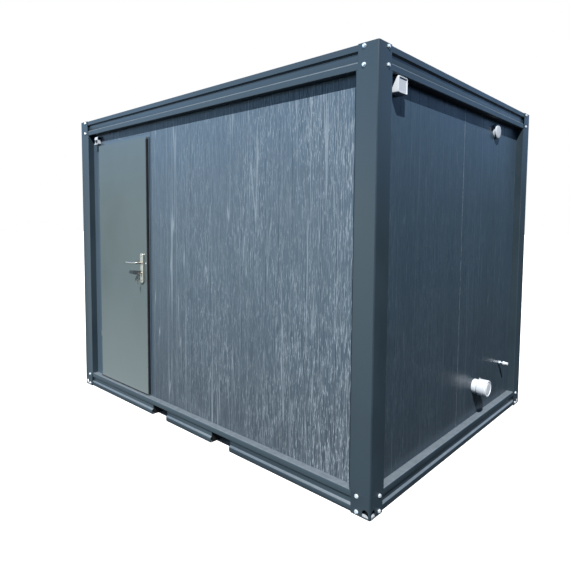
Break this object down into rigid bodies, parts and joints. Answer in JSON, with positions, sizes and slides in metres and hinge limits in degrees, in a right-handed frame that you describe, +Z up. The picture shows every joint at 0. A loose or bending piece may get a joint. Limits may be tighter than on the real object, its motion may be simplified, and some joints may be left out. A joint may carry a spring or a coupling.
{
  "type": "portable cabin",
  "caption": "Flat-roofed portable cabin: bolted corner posts and grooved steel rails around sandwich panel walls, with a hinged steel door, fork pockets and service connections.",
  "frame": {"origin": "ground level under the middle of the cabin's frame, just below the middle floor beam", "axes": "+X along the long wall towards the wall with the service connections, -Y out of the long wall with the door, +Z up"},
  "size_m": [3.2563, 2.4408, 2.484],
  "materials": {
    "frame_paint": "satin powder coat, anthracite",
    "wall_skin": "glossy coil coating, dark blue-grey, finely lined",
    "door_paint": "smooth satin paint, grey-green",
    "zinc_sheet": "galvanised",
    "vinyl_floor": "satin sheet vinyl",
    "inner_lining": "white satin coating",
    "stainless": "brushed",
    "hinge_steel": "zinc plated",
    "white_plastic": "moulded, white"
  },
  "bodies": {
    "cabin": {"back_wall_1": "wall_skin", "back_wall_2": "wall_skin", "back_wall_3": "wall_skin", "cable_port_box": "white_plastic", "ceiling_panel": "inner_lining", "corner_foot_back_left": "frame_paint", "corner_foot_back_right": "frame_paint", "corner_foot_front_left": "frame_paint", "corner_foot_front_right": "frame_paint", "corner_post_back_left": "frame_paint", "corner_post_back_right": "frame_paint", "corner_post_front_left": "frame_paint", "corner_post_front_right": "frame_paint", "door_head": "door_paint", "door_jamb_hinge": "door_paint", "door_jamb_lock": "door_paint", "door_threshold": "zinc_sheet", "floor_beam_1": "frame_paint", "floor_beam_2": "frame_paint", "floor_beam_3": "frame_paint", "floor_deck": "vinyl_floor", "floor_rail_back": "frame_paint", "floor_rail_front": "frame_paint", "floor_rail_left": "frame_paint", "floor_rail_right": "frame_paint", "floor_underlay": "zinc_sheet", "fork_sleeve_left": "frame_paint", "fork_sleeve_right": "frame_paint", "front_wall_1": "wall_skin", "front_wall_2": "wall_skin", "front_wall_header": "wall_skin", "front_wall_strip": "wall_skin", "hinge_lower": "hinge_steel", "hinge_upper": "hinge_steel", "left_wall_1": "wall_skin", "left_wall_2": "wall_skin", "power_inlet_box": "white_plastic", "right_wall_1": "wall_skin", "right_wall_2": "wall_skin", "roof_panel": "zinc_sheet", "roof_rail_back": "frame_paint", "roof_rail_front": "frame_paint", "roof_rail_left": "frame_paint", "roof_rail_right": "frame_paint", "vent_cap": "white_plastic", "waste_cap": "white_plastic", "waste_pipe": "white_plastic", "water_inlet": "white_plastic"},
    "door": {"door_leaf": "door_paint", "handle_plate_inner": "stainless", "handle_plate_outer": "stainless"},
    "lever": {"lever_inner": "stainless", "lever_outer": "stainless"}
  },
  "joints": [
    {"name": "door_hinge", "type": "hinge", "parent": "cabin", "child": "door", "pos_m": [-1.332, -1.162, 1.1874], "axis": [0, 0, -1], "range_deg": [0, 110]},
    {"name": "lever_turn", "type": "hinge", "parent": "door", "child": "lever", "pos_m": [-0.616, -1.17, 1.231], "axis": [0, -1, 0], "range_deg": [0, 40]}
  ]
}
